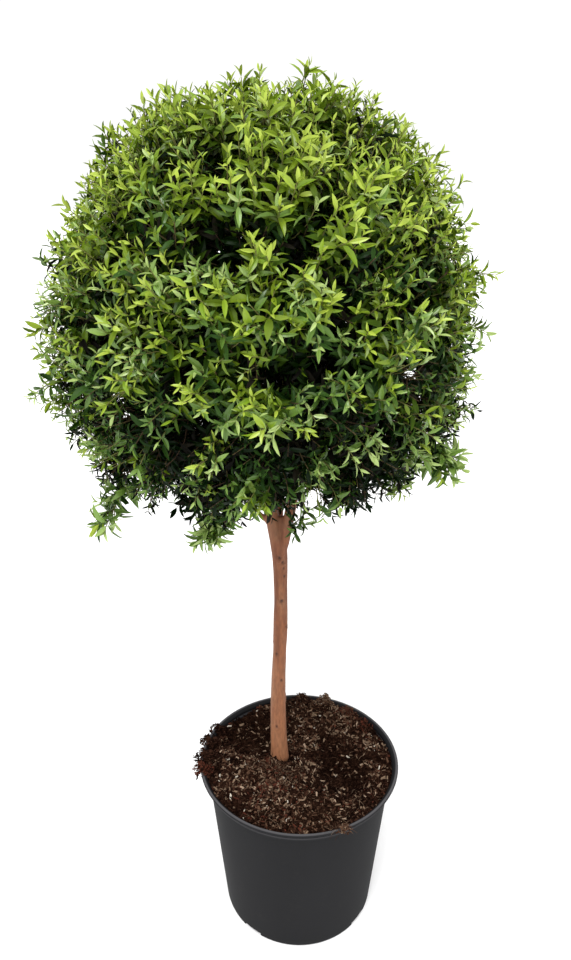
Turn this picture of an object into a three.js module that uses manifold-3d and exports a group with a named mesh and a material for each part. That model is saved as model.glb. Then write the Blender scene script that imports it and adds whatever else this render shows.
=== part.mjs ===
// Standard lollipop topiary: an evergreen shrub clipped to a ball on one clear stem, in its round pot.
// Millimetres, +Z up. The origin is the centre of the pot's flat underside, and -Y is the front.

import * as THREE from 'three';
import { mergeVertices } from 'three/addons/utils/BufferGeometryUtils.js';
import Module from 'manifold-3d';

const wasm = await Module();
wasm.setup();

// ---------------------------------------------------------------- driving dimensions

const GAP = 0.3; // kept between pieces that touch

const POT = {
	height: 220,
	baseRadius: 100.5, // outer radius of the underside
	bodyRadius: 119, // outer radius just below the collar
	collarRadius: 123, // outer radius of the collar's lower edge
	rimRadius: 130, // outer radius of the lip
	collarHeight: 18,
	wall: 2,
	floor: 3,
	footRound: 2.5, // bevel between the underside and the wall
	sides: 48,
};

const DRAIN = {
	count: 4, // arched slots through the foot of the wall
	sides: 16,
	width: 27,
	height: 6,
	depth: 12,
	firstAzimuth: - 38, // degrees from +X
};

const SOIL = {
	level: 211, // where the mix meets the wall
	rings: 11,
	sides: 40,
	crumb: 1.6, // height of the fine unevenness
	crumbLength: 27,
};

// Heaps and hollows in the potting mix: place, spread and height.
const HEAPS = [
	{ x: - 22, y: - 30, spread: 46, height: 10 }, // in front of the stem's foot
	{ x: - 88, y: - 22, spread: 34, height: 11 }, // against the left wall
	{ x: 18, y: 92, spread: 44, height: 10 }, // against the back wall
	{ x: - 52, y: 34, spread: 32, height: - 12 }, // hollow behind and left of the stem
	{ x: 58, y: - 22, spread: 28, height: - 9 }, // hollow on the right
];

const TRUNK = {
	x: - 25.6, // mean offset of the stem from the pot's axis
	y: 5,
	ground: 213, // level of the flat cut
	fork: 533,
	sway: 1.9, // amplitude of the slow S-bend, sideways
	swayBack: 1.4, // and front to back
	footRadius: 10.2,
	midRadius: 8.8,
	rootFlare: 2.2, // extra radius at the very foot
	flareReach: 14,
	forkSwell: 2.6, // extra radius where the boughs part
	swellReach: 13,
	sides: 14,
	steps: 26,
};

// Each bough leaves the fork or the leader: start (relative to the stem), lean from upright and compass
// direction in degrees, length, and radius at the foot and the tip.
const BOUGHS = [
	{ name: 'leader_bough', x: - 3.8, y: 0, rise: 0, lean: 7, azimuth: 190, length: 110, foot: 8.2, tip: 6.2 },
	{ name: 'right_bough', x: 5.4, y: - 1.5, rise: 0, lean: 10, azimuth: - 10, length: 120, foot: 7.4, tip: 4.8 },
	{ name: 'back_bough', x: 0.5, y: 8.5, rise: 4, lean: 30, azimuth: 88, length: 120, foot: 4.6, tip: 3.6 },
	{ name: 'left_bough', x: - 11, y: - 2, rise: 24, lean: 38, azimuth: 184, length: 90, foot: 2.6, tip: 1.9 },
	{ name: 'left_spur', x: - 10, y: - 5, rise: 38, lean: 46, azimuth: 204, length: 80, foot: 2.1, tip: 1.5 },
];
const BOUGH_SWEEP = 0.1; // each bough turns up by this share of its length
const BOUGH_ROOT = 8; // how far a bough would run on below its foot
const BOUGH_SIDES = 10;
const BOUGH_STEPS = 6;

const CROWN = {
	x: - 39,
	y: 0,
	z: 792,
	halfWidth: 222,
	halfHeight: 213,
	squareness: 2.25, // 2 is a true ball
	ripple: 5, // height of the clipped shoots' unevenness
	rippleLength: 66,
	detail: 10,
};

// Broad lobes and dents of the clipped ball: compass direction, elevation, angular spread, height.
const LOBES = [
	{ azimuth: - 40, elevation: 42, spread: 20, height: - 8 },
	{ azimuth: - 168, elevation: 32, spread: 18, height: - 13 },
	{ azimuth: - 152, elevation: - 34, spread: 26, height: 11 },
	{ azimuth: - 30, elevation: - 38, spread: 22, height: 13 },
	{ azimuth: - 22, elevation: - 12, spread: 12, height: 8 },
	{ azimuth: - 158, elevation: - 12, spread: 14, height: 8 },
	{ azimuth: - 119, elevation: - 50, spread: 14, height: 10 },
	{ azimuth: - 10, elevation: 8, spread: 18, height: - 8 },
	{ azimuth: - 10, elevation: 24, spread: 14, height: - 5 },
	{ azimuth: 4, elevation: 60, spread: 14, height: 6 },
	{ azimuth: 90, elevation: 86, spread: 10, height: 6 },
	{ azimuth: - 95, elevation: 20, spread: 24, height: 5 },
	{ azimuth: 30, elevation: 38, spread: 22, height: 7 },
	{ azimuth: 62, elevation: - 18, spread: 20, height: - 6 },
	{ azimuth: 104, elevation: 40, spread: 22, height: - 7 },
	{ azimuth: 118, elevation: - 30, spread: 24, height: 8 },
	{ azimuth: 158, elevation: 12, spread: 20, height: 6 },
	{ azimuth: 0, elevation: - 88, spread: 30, height: - 16 }, // the flatter underside
	{ azimuth: 0, elevation: - 86, spread: 8, height: - 22 }, // the dimple that the boughs rise into
];

// Shoots that have outgrown the clipped outline: compass direction, elevation, reach past the ball,
// radius of the spray, and how far its tip hangs.
const SHOOTS = [
	{ name: 'top_shoot', azimuth: - 46, elevation: 75, reach: 24, radius: 9, hang: 0 },
	{ name: 'top_right_shoot', azimuth: - 48, elevation: 64, reach: 14, radius: 8, hang: 0 },
	{ name: 'right_upper_shoot', azimuth: - 15, elevation: 25, reach: 12, radius: 8, hang: 0 },
	{ name: 'right_shoot', azimuth: - 16, elevation: 12, reach: 20, radius: 8, hang: 0 },
	{ name: 'right_lower_shoot', azimuth: - 17, elevation: - 1, reach: 11, radius: 9, hang: 4 },
	{ name: 'right_hanging_spray', azimuth: - 26, elevation: - 34, reach: 12, radius: 12, hang: 6 },
	{ name: 'left_shoot', azimuth: - 163, elevation: - 2, reach: 14, radius: 10, hang: 0 },
	{ name: 'left_lower_shoot', azimuth: - 159, elevation: - 14, reach: 18, radius: 11, hang: 4 },
	{ name: 'left_hanging_spray', azimuth: - 157, elevation: - 45, reach: 41, radius: 17, hang: 31 },
	{ name: 'front_hanging_spray', azimuth: - 119, elevation: - 60, reach: 20, radius: 15, hang: 16 },
	{ name: 'back_top_shoot', azimuth: 110, elevation: 62, reach: 20, radius: 9, hang: 0 },
	{ name: 'back_left_shoot', azimuth: 150, elevation: 18, reach: 22, radius: 9, hang: 0 },
	{ name: 'back_right_shoot', azimuth: 42, elevation: 12, reach: 24, radius: 9, hang: 0 },
	{ name: 'back_hanging_spray', azimuth: 78, elevation: - 48, reach: 22, radius: 15, hang: 14 },
];
const SHOOT_ROOT = 24; // how far each spray's solid would run on inside the ball
const SHOOT_SIDES = 8;
const SHOOT_RINGS = 6;

const MATERIALS = {
	plastic: new THREE.MeshStandardMaterial( { color: 0x37383a, roughness: 0.6, metalness: 0 } ),
	soil: new THREE.MeshStandardMaterial( { color: 0x3f2a1e, roughness: 0.95, metalness: 0 } ),
	bark: new THREE.MeshStandardMaterial( { color: 0xa56e55, roughness: 0.8, metalness: 0 } ),
	foliage: new THREE.MeshStandardMaterial( { color: 0x4f7d2b, roughness: 0.6, metalness: 0 } ),
};

// ---------------------------------------------------------------- solids and cuts

function closed( geometry ) {

	geometry.deleteAttribute( 'normal' );
	geometry.deleteAttribute( 'uv' );
	return mergeVertices( geometry, 1e-3 );

}

function toSolid( geometry ) {

	return new wasm.Manifold( new wasm.Mesh( {
		numProp: 3,
		vertProperties: new Float32Array( geometry.attributes.position.array ),
		triVerts: new Uint32Array( geometry.index.array ),
	} ) );

}

function toGeometry( solid ) {

	const mesh = solid.getMesh();
	const geometry = new THREE.BufferGeometry();
	geometry.setAttribute( 'position', new THREE.BufferAttribute( mesh.vertProperties, 3 ) );
	geometry.setIndex( new THREE.BufferAttribute( mesh.triVerts, 1 ) );
	geometry.computeVertexNormals();
	return geometry;

}

// A cut can leave slivers beside the piece that is wanted, which is the largest.
function largestPiece( solid ) {

	return solid.decompose().reduce( ( best, piece ) => piece.volume() > best.volume() ? piece : best );

}

function named( name, geometry, material ) {

	const mesh = new THREE.Mesh( geometry, material );
	mesh.name = name;
	return mesh;

}

function compass( azimuth, elevation ) {

	const around = THREE.MathUtils.degToRad( azimuth );
	const up = THREE.MathUtils.degToRad( elevation );
	return new THREE.Vector3(
		Math.cos( up ) * Math.cos( around ),
		Math.cos( up ) * Math.sin( around ),
		Math.sin( up )
	);

}

// Smooth unevenness between -1 and 1, from three crossed waves of the given length.
function unevenness( x, y, z, wavelength ) {

	const k = 2 * Math.PI / wavelength;
	const a = Math.sin( k * ( x + 0.6 * y ) + 1.3 ) * Math.cos( k * ( z - 0.4 * x ) );
	const b = Math.sin( k * ( y - 0.7 * z ) + 4.1 ) * Math.cos( k * ( 0.8 * x + y ) + 2.2 );
	return 0.5 * ( a + b );

}

// ---------------------------------------------------------------- pot

function potInnerRadius( z ) {

	const shoulder = POT.height - POT.collarHeight;
	const outer = z < shoulder
		? THREE.MathUtils.mapLinear( z, 0, shoulder, POT.baseRadius, POT.bodyRadius )
		: THREE.MathUtils.mapLinear( z, shoulder, POT.height, POT.collarRadius, POT.rimRadius );
	return outer - POT.wall;

}

function drainSlot( index ) {

	const slot = new THREE.CylinderGeometry( DRAIN.width / 2, DRAIN.width / 2, 2 * DRAIN.depth, DRAIN.sides );
	slot.scale( 1, 1, 2 * DRAIN.height / DRAIN.width );
	const azimuth = THREE.MathUtils.degToRad( DRAIN.firstAzimuth + index * 360 / DRAIN.count );
	slot.rotateZ( azimuth - Math.PI / 2 );
	slot.translate( POT.baseRadius * Math.cos( azimuth ), POT.baseRadius * Math.sin( azimuth ), 0 );
	return toSolid( closed( slot ) );

}

function makePot() {

	const shoulder = POT.height - POT.collarHeight;
	const profile = [
		[ 0, 0 ],
		[ POT.baseRadius - POT.footRound, 0 ],
		[ POT.baseRadius, POT.footRound ],
		[ POT.bodyRadius, shoulder - 1 ],
		[ POT.collarRadius, shoulder ],
		[ POT.rimRadius, POT.height ],
		[ POT.rimRadius - POT.wall, POT.height ],
		[ potInnerRadius( shoulder + 1 ), shoulder + 1 ],
		[ potInnerRadius( shoulder - 1 ), shoulder - 1 ],
		[ potInnerRadius( POT.floor ), POT.floor ],
		[ 0, POT.floor ],
	].map( ( [ radius, z ] ) => new THREE.Vector2( radius, z ) );
	const shell = new THREE.LatheGeometry( profile, POT.sides ).rotateX( Math.PI / 2 );
	let solid = toSolid( closed( shell ) );
	for ( let i = 0; i < DRAIN.count; i ++ ) solid = solid.subtract( drainSlot( i ) );
	return named( 'pot', toGeometry( largestPiece( solid ) ), MATERIALS.plastic );

}

// ---------------------------------------------------------------- potting mix

function soilHeight( x, y ) {

	const heaps = HEAPS.reduce( ( sum, heap ) => {

		const away = Math.hypot( x - heap.x, y - heap.y ) / heap.spread;
		return sum + heap.height * Math.exp( - away * away );

	}, 0 );
	return SOIL.level + heaps + SOIL.crumb * unevenness( x, y, 0, SOIL.crumbLength );

}

function makeSoil( trunkFoot ) {

	const edge = potInnerRadius( SOIL.level ) - GAP;
	const shoulder = POT.height - POT.collarHeight;
	const profile = [
		[ 0, POT.floor + GAP ],
		[ potInnerRadius( POT.floor ) - 2 * GAP, POT.floor + GAP ],
		[ potInnerRadius( shoulder - 1 ) - 2 * GAP, shoulder - 1 - GAP ],
	];
	for ( let ring = SOIL.rings; ring >= 0; ring -- ) profile.push( [ edge * ring / SOIL.rings, SOIL.level ] );
	const points = profile.map( ( [ radius, z ] ) => new THREE.Vector2( radius, z ) );
	const plug = closed( new THREE.LatheGeometry( points, SOIL.sides ).rotateX( Math.PI / 2 ) );
	const place = plug.attributes.position;
	for ( let i = 0; i < place.count; i ++ ) {

		const inward = edge - Math.hypot( place.getX( i ), place.getY( i ) );
		const onTop = place.getZ( i ) > SOIL.level - 0.01;
		if ( onTop && inward > 1 ) place.setZ( i, soilHeight( place.getX( i ), place.getY( i ) ) );

	}

	return named( 'soil', toGeometry( toSolid( plug ).subtract( trunkFoot ) ), MATERIALS.soil );

}

// ---------------------------------------------------------------- stem and boughs

// A round limb of changing radius along a curve, from a cylinder bent ring by ring.
function limb( curve, radiusAt, sides, steps ) {

	const tube = new THREE.CylinderGeometry( 1, 1, 1, sides, steps );
	const frames = curve.computeFrenetFrames( steps );
	const place = tube.attributes.position;
	for ( let i = 0; i < place.count; i ++ ) {

		const along = place.getY( i ) + 0.5;
		const step = Math.round( along * steps );
		const radius = radiusAt( along );
		const point = curve.getPointAt( along );
		point.addScaledVector( frames.normals[ step ], place.getX( i ) * radius );
		point.addScaledVector( frames.binormals[ step ], - place.getZ( i ) * radius );
		place.setXYZ( i, point.x, point.y, point.z );

	}

	return toSolid( closed( tube ) );

}

function trunkCentre( z ) {

	const along = ( z - TRUNK.ground ) / ( TRUNK.fork - TRUNK.ground );
	return new THREE.Vector3(
		TRUNK.x - TRUNK.sway * Math.sin( 2 * Math.PI * along ),
		TRUNK.y + TRUNK.swayBack * Math.sin( Math.PI * along + 0.4 ),
		z
	);

}

function trunkRadius( z ) {

	const up = z - TRUNK.ground;
	const taper = THREE.MathUtils.smoothstep( up, 0, 0.6 * ( TRUNK.fork - TRUNK.ground ) );
	const flare = TRUNK.rootFlare * Math.exp( - Math.max( up, 0 ) / TRUNK.flareReach );
	const swell = TRUNK.forkSwell * Math.exp( - Math.max( TRUNK.fork - z, 0 ) / TRUNK.swellReach );
	return THREE.MathUtils.lerp( TRUNK.footRadius, TRUNK.midRadius, taper ) + flare + swell;

}

// The stem runs a little past both ends here, and is cut flat at the ground and at the fork.
function trunkSolid( clearance ) {

	const overrun = 6;
	const low = TRUNK.ground - overrun;
	const high = TRUNK.fork + overrun;
	const points = [];
	for ( let i = 0; i <= TRUNK.steps; i ++ ) points.push( trunkCentre( low + ( high - low ) * i / TRUNK.steps ) );
	const curve = new THREE.CatmullRomCurve3( points );
	const radiusAt = ( along ) => trunkRadius( low + ( high - low ) * along ) + clearance;
	return limb( curve, radiusAt, TRUNK.sides, TRUNK.steps )
		.trimByPlane( [ 0, 0, 1 ], TRUNK.ground + GAP - clearance )
		.trimByPlane( [ 0, 0, - 1 ], - TRUNK.fork - clearance );

}

function boughSolid( bough, clearance ) {

	const start = trunkCentre( TRUNK.fork + bough.rise ).add( new THREE.Vector3( bough.x, bough.y, 0 ) );
	const heading = compass( bough.azimuth, 90 - bough.lean );
	const middle = start.clone().addScaledVector( heading, 0.5 * bough.length );
	const end = start.clone().addScaledVector( heading, bough.length );
	end.z += BOUGH_SWEEP * bough.length;
	start.addScaledVector( heading, - BOUGH_ROOT );
	const curve = new THREE.CatmullRomCurve3( [ start, middle, end ] );
	const radiusAt = ( along ) => THREE.MathUtils.lerp( bough.foot, bough.tip, along ) + clearance;
	return limb( curve, radiusAt, BOUGH_SIDES, BOUGH_STEPS );

}

// Each bough gives way to the stem, to the boughs before it, and to the foliage it runs into.
function makeBoughs( crownWithGap ) {

	const boughs = [];
	let taken = trunkSolid( GAP ).add( crownWithGap );
	for ( const bough of BOUGHS ) {

		const solid = largestPiece( boughSolid( bough, 0 ).subtract( taken )
			.trimByPlane( [ 0, 0, 1 ], TRUNK.fork + GAP ) );
		boughs.push( named( bough.name, toGeometry( solid ), MATERIALS.bark ) );
		taken = taken.add( boughSolid( bough, GAP ) );

	}

	return boughs;

}

// ---------------------------------------------------------------- foliage

function crownRadius( direction ) {

	const across = Math.hypot( direction.x, direction.y ) / CROWN.halfWidth;
	const upright = Math.abs( direction.z ) / CROWN.halfHeight;
	const ball = ( across ** CROWN.squareness + upright ** CROWN.squareness ) ** ( - 1 / CROWN.squareness );
	const lobes = LOBES.reduce( ( sum, lobe ) => {

		const apart = direction.angleTo( compass( lobe.azimuth, lobe.elevation ) );
		const away = THREE.MathUtils.radToDeg( apart ) / lobe.spread;
		return sum + lobe.height * Math.exp( - away * away );

	}, 0 );
	const surface = direction.clone().multiplyScalar( ball );
	return ball + lobes + CROWN.ripple * unevenness( surface.x, surface.y, surface.z, CROWN.rippleLength );

}

function crownSolid( clearance ) {

	const ball = closed( new THREE.IcosahedronGeometry( 1, CROWN.detail ) );
	const place = ball.attributes.position;
	const direction = new THREE.Vector3();
	for ( let i = 0; i < place.count; i ++ ) {

		direction.fromBufferAttribute( place, i ).normalize();
		direction.multiplyScalar( crownRadius( direction ) + clearance );
		place.setXYZ( i, CROWN.x + direction.x, CROWN.y + direction.y, CROWN.z + direction.z );

	}

	return toSolid( ball );

}

// A spray is a spindle that leaves the ball and droops at its tip.
function shootSolid( shoot ) {

	const direction = compass( shoot.azimuth, shoot.elevation );
	const surface = crownRadius( direction );
	const length = SHOOT_ROOT + shoot.reach;
	const spindle = new THREE.SphereGeometry( 1, SHOOT_SIDES, SHOOT_RINGS );
	spindle.scale( shoot.radius, 0.5 * length, shoot.radius );
	const turn = new THREE.Quaternion().setFromUnitVectors( new THREE.Vector3( 0, 1, 0 ), direction );
	spindle.applyQuaternion( turn );
	const centre = direction.clone().multiplyScalar( surface - SHOOT_ROOT + 0.5 * length );
	spindle.translate( CROWN.x + centre.x, CROWN.y + centre.y, CROWN.z + centre.z );
	const place = spindle.attributes.position;
	const point = new THREE.Vector3();
	for ( let i = 0; i < place.count; i ++ ) {

		point.fromBufferAttribute( place, i ).sub( new THREE.Vector3( CROWN.x, CROWN.y, CROWN.z ) );
		const outside = Math.max( point.dot( direction ) - surface, 0 ) / shoot.reach;
		place.setZ( i, place.getZ( i ) - shoot.hang * outside * outside );

	}

	return toSolid( closed( spindle ) );

}

function makeShoots( crownWithGap ) {

	return SHOOTS.map( ( shoot ) => {

		const solid = largestPiece( shootSolid( shoot ).subtract( crownWithGap ) );
		return named( shoot.name, toGeometry( solid ), MATERIALS.foliage );

	} );

}

// ---------------------------------------------------------------- assembly

const crownWithGap = crownSolid( GAP );
const topiary = new THREE.Group();
topiary.add( makePot() );
topiary.add( makeSoil( trunkSolid( GAP ) ) );
topiary.add( named( 'trunk', toGeometry( trunkSolid( 0 ) ), MATERIALS.bark ) );
topiary.add( ...makeBoughs( crownWithGap ) );
topiary.add( named( 'crown', toGeometry( crownSolid( 0 ) ), MATERIALS.foliage ) );
topiary.add( ...makeShoots( crownWithGap ) );

export default topiary;
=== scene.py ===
"""The looks of the lollipop topiary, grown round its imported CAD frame.

Metres, +Z up, -Y is the front. The CAD crown gives the outline that the shoots reach, the CAD shoots give the
sprays that have outgrown it, and the CAD trunk and boughs give the limbs that the twigs branch from.
"""

import math

import bpy
import numpy as np
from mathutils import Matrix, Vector
from mathutils.bvhtree import BVHTree


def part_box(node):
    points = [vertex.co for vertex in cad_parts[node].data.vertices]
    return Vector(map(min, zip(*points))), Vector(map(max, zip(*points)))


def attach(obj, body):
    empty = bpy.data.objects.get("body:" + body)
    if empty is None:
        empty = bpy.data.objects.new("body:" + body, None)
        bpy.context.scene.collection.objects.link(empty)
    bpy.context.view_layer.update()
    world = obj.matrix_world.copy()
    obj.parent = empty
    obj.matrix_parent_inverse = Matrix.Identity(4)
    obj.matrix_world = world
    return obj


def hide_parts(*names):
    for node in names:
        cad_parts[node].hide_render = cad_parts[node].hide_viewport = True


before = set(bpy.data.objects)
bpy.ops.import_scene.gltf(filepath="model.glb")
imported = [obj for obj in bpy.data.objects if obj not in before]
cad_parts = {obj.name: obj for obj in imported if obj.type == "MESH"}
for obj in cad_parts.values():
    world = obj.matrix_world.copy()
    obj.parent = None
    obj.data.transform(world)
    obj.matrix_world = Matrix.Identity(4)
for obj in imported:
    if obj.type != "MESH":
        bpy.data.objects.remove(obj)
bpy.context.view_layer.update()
UP = np.array([0.0, 0.0, 1.0])
PIECE_LIMIT = 190_000  # triangles in one joined piece

CAMERA = {"x": -0.018, "back": 0.768, "height": 0.903, "pitch": 20.8, "lens": 27.2}

# A broad soft light from above, behind the camera and a little to its left.
KEY = {"from": (-0.14, -0.58, 1.0), "strength": 2.5, "softness": 34}
SKY = 1.06  # brightness of the even light from all round

# Outline of a leaf: shares of its length, and its width there as a share of the greatest width.
LEAF = {"length": 0.0180, "slimness": 0.305, "stations": (0.2, 0.48, 0.78), "widths": (0.72, 1.0, 0.66)}
INNER_LEAF = {"stations": (0.3, 0.7), "widths": (0.95, 0.8)}

# Sprays on the clipped surface: a main shoot with side shoots fanning from it.
SPRAYS = {
    "count": 430,
    "inset": 0.0085,  # how far the last pair of leaves reaches past a shoot's tip
    "depth": (-0.0105, 0.002),
    "length": (0.062, 0.088),
    "sides": (4, 8),
    "fan": (0.009, 0.022),
    "lag": (0.001, 0.016),
}

# Single shoots behind the sprays, from the surface inwards, their leaves painted darker as painted shade.
LAYERS = [
    {"count": 790, "depth": (0.016, 0.038), "size": 1.05, "length": (0.050, 0.070), "light": 0.20},
    {"count": 370, "depth": (0.040, 0.070), "size": 1.15, "length": (0.045, 0.065), "light": -0.20},
    {
        "count": 900,
        "depth": (0.004, 0.028),
        "size": 0.95,
        "length": (0.035, 0.05),
        "light": -0.25,
        "below": -0.42,  # only where the crown faces down more steeply than this
    },
]
INTERNODE = 0.0057  # between two pairs of leaves
LEAF_LEANS = (26.0, 46.0, 58.0, 66.0)  # degrees from the shoot, for the last pair and those before it

# Openings through the crown where sky shows: a point on each, the way it runs and its radius.
GAPS = [
    {"at": (-0.201, 0.0, 0.708), "along": (-0.23, 0.976, -0.248), "radius": 0.0105},
    {"at": (-0.192, 0.0, 0.686), "along": (-0.22, 0.97, -0.27), "radius": 0.0085},
    {"at": (0.116, 0.0, 0.732), "along": (0.172, 0.986, -0.22), "radius": 0.0105},
    {"at": (0.128, 0.0, 0.705), "along": (0.18, 0.975, -0.24), "radius": 0.008},
    {"at": (0.018, 0.0, 0.591), "along": (0.043, 0.927, -0.377), "radius": 0.011},
]

# Shoots that break from the right bough just above the fork: their tips, measured from the fork.
FORK_SPRAY = [(0.043, -0.012, 0.050), (0.027, -0.024, 0.038), (0.019, -0.028, 0.020), (0.034, -0.018, 0.030)]

# Drain slots in the foot of the pot: the compass direction of the first, and how far they cut.
DRAIN = {"count": 4, "first": -38, "width": 0.027, "height": 0.0058, "depth": 0.012}

# Leaf colours from fresh tips in painted light to old leaves in painted shade, then dry leaves, as linear
# base colours.
# The paler steps carry extra blue, a painted sheen.
LEAF_TINTS = {
    "leaves_fresh": [
        (0.35, 0.46, 0.145),
        (0.265, 0.385, 0.098),
        (0.205, 0.322, 0.064),
        (0.158, 0.268, 0.045),
    ],
    "leaves_green": [
        (0.142, 0.238, 0.043),
        (0.110, 0.195, 0.033),
        (0.082, 0.154, 0.024),
        (0.058, 0.116, 0.018),
    ],
    "leaves_deep": [
        (0.034, 0.080, 0.013),
        (0.020, 0.052, 0.008),
        (0.0085, 0.027, 0.0035),
        (0.0020, 0.0090, 0.0008),
    ],
    "leaves_dry": [
        (0.011, 0.0095, 0.0055),
        (0.0045, 0.0042, 0.0028),
    ],
}
# The same steps for sprays on the upper half of the crown: yellower, without the bluish painted sheen, and
# less glossy.
UPPER_CROWN_TINTS = {
    "leaves_lime": [
        (0.375, 0.478, 0.062),
        (0.288, 0.398, 0.038),
        (0.222, 0.332, 0.022),
        (0.168, 0.270, 0.014),
    ],
    "leaves_olive": [
        (0.180, 0.262, 0.015),
        (0.142, 0.214, 0.011),
        (0.109, 0.172, 0.008),
        (0.081, 0.134, 0.006),
    ],
    "leaves_moss": [
        (0.043, 0.082, 0.005),
        (0.026, 0.054, 0.003),
        (0.0108, 0.028, 0.0014),
        (0.0028, 0.0092, 0.0006),
    ],
}
# Roughness and specular level of each kind of leaf.
LEAF_GLOSS = {
    "leaves_fresh": (0.25, 0.50),
    "leaves_lime": (0.28, 0.32),
    "leaves_olive": (0.30, 0.26),
    "leaves_moss": (0.36, 0.07),
    "leaves_green": (0.26, 0.36),
    "leaves_deep": (0.34, 0.09),
    "leaves_dry": (0.45, 0.05),
}
TINT_LIST = [tint for tints in LEAF_TINTS.values() for tint in tints]
FIRST_DRY = len(TINT_LIST) - len(LEAF_TINTS["leaves_dry"])


# ------------------------------------------------------------------------------ numbers


def unit(vectors):
    return vectors / np.maximum(np.linalg.norm(vectors, axis=-1, keepdims=True), 1e-12)


def hashed(i, j, k, seed):
    mixed = (i * 374761393 + j * 668265263 + k * 1440662683 + seed * 1274126177) & 0xFFFFFFFF
    mixed = ((mixed ^ (mixed >> 13)) * 1274126177) & 0xFFFFFFFF
    return ((mixed ^ (mixed >> 16)) & 0xFFFF) / 65535.0


def noise(points, seed=0):
    """Smooth noise between -1 and 1 at each point, with one lattice cell to the unit."""
    cell = np.floor(points).astype(np.int64)
    part = points - cell
    part = part * part * (3 - 2 * part)
    total = np.zeros(len(points))
    for corner in np.ndindex(2, 2, 2):
        weight = np.prod(np.where(np.array(corner, bool), part, 1 - part), axis=1)
        total += weight * hashed(*(cell + corner).T, seed)
    return 2 * total - 1


def layered_noise(points, octaves, seed=0):
    return sum(noise(points * 2**o, seed + o) / 2**o for o in range(octaves)) / (2 - 0.5 ** (octaves - 1))


def sphere_points(count, rng, jitter=0.6):
    """Evenly spread directions, each moved a little."""
    index = np.arange(count) + 0.5
    z = 1 - 2 * index / count
    around = index * math.pi * (3 - math.sqrt(5))
    flat = np.sqrt(1 - z * z)
    points = np.stack([flat * np.cos(around), flat * np.sin(around), z], -1)
    return unit(points + rng.normal(0, jitter / math.sqrt(count), points.shape))


def turned(vectors, axes, angles):
    """Each vector turned about its axis (Rodrigues)."""
    cos, sin = np.cos(angles)[:, None], np.sin(angles)[:, None]
    along = (vectors * axes).sum(1, keepdims=True)
    return vectors * cos + np.cross(axes, vectors) * sin + axes * along * (1 - cos)


def square_to(axes):
    """A unit vector square to each axis."""
    helper = np.where(np.abs(axes[:, 2:3]) < 0.9, UP, np.array([1.0, 0.0, 0.0]))
    return unit(np.cross(axes, helper))


def on_curve(foot, bend, tip, t):
    """The place a share t of the way along a quadratic curve."""
    return (1 - t) ** 2 * foot + 2 * t * (1 - t) * bend + t**2 * tip


# ------------------------------------------------------------------------------ meshes


def mesh_object(name, verts, groups, materials, smooth=True):
    """A mesh from vertices and groups of faces, each group (faces, material index or indices)."""
    loops = np.concatenate([faces.ravel() for faces, _ in groups])
    totals = np.concatenate([np.full(len(faces), faces.shape[1]) for faces, _ in groups])
    slots = np.concatenate([np.broadcast_to(slot, len(faces)) for faces, slot in groups])
    mesh = bpy.data.meshes.new(name)
    mesh.vertices.add(len(verts))
    mesh.vertices.foreach_set("co", verts.astype(np.float32).ravel())
    mesh.loops.add(len(loops))
    mesh.loops.foreach_set("vertex_index", loops.astype(np.int32))
    mesh.polygons.add(len(totals))
    starts = np.concatenate([[0], np.cumsum(totals)[:-1]])
    mesh.polygons.foreach_set("loop_start", starts.astype(np.int32))
    mesh.polygons.foreach_set("material_index", slots.astype(np.int32))
    mesh.polygons.foreach_set("use_smooth", np.full(len(totals), smooth))
    mesh.update(calc_edges=True)
    for material in materials:
        mesh.materials.append(material)
    piece = bpy.data.objects.new(name, mesh)
    bpy.context.scene.collection.objects.link(piece)
    return piece


def tube_mesh(starts, bends, ends, foot, tip, sides, steps):
    """Round tapering limbs along quadratic curves, all at once. Returns vertices and groups of faces."""
    along = np.linspace(0, 1, steps + 1)[None, :, None]
    p0, p1, p2 = (p[:, None, :] for p in (starts, bends, ends))
    path = on_curve(p0, p1, p2, along)
    tangent = unit(2 * (1 - along) * (p1 - p0) + 2 * along * (p2 - p1) + 1e-9)
    helper = square_to(unit(ends - starts))[:, None, :]
    side = unit(np.cross(tangent, helper))
    over = np.cross(side, tangent)
    radius = foot[:, None, None] * (1 - along) + tip[:, None, None] * along
    angle = np.linspace(0, 2 * np.pi, sides, endpoint=False)
    ring = radius[..., None] * (
        side[:, :, None, :] * np.cos(angle)[None, None, :, None]
        + over[:, :, None, :] * np.sin(angle)[None, None, :, None]
    )
    verts = (path[:, :, None, :] + ring).reshape(-1, 3)
    count = len(starts)
    block = (np.arange(count) * (steps + 1) * sides)[:, None, None]
    row = (np.arange(steps) * sides)[None, :, None]
    here, there = np.arange(sides)[None, None, :], (np.arange(sides) + 1)[None, None, :] % sides
    walls = np.stack(
        [block + row + here, block + row + sides + here, block + row + sides + there, block + row + there], -1
    ).reshape(-1, 4)
    first = (block[:, 0] + np.arange(sides)[None, :]).reshape(-1, sides)
    last = (block[:, 0] + steps * sides + np.arange(sides)[::-1][None, :]).reshape(-1, sides)
    return verts, [walls, first, last]


def ring_quads(rings, sides):
    """Quads between one closed ring of vertices and the next."""
    here, there = np.arange(sides), (np.arange(sides) + 1) % sides
    row = (np.arange(rings - 1) * sides)[:, None]
    return np.stack([row + here, row + sides + here, row + sides + there, row + there], -1).reshape(-1, 4)


def surface_of(node):
    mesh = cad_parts[node].data
    verts = [v.co.copy() for v in mesh.vertices]
    return BVHTree.FromPolygons(verts, [tuple(p.vertices) for p in mesh.polygons])


def node_verts(node):
    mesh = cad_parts[node].data
    return np.array([v.co for v in mesh.vertices], float).reshape(-1, 3)


# ------------------------------------------------------------------------------ materials


def plain_material(name, colour, roughness, specular):
    material = bpy.data.materials.new(name)
    material.use_nodes = True
    shader = material.node_tree.nodes["Principled BSDF"]
    shader.inputs["Base Color"].default_value = (*colour, 1)
    shader.inputs["Roughness"].default_value = roughness
    shader.inputs["Specular IOR Level"].default_value = specular
    return material


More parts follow.
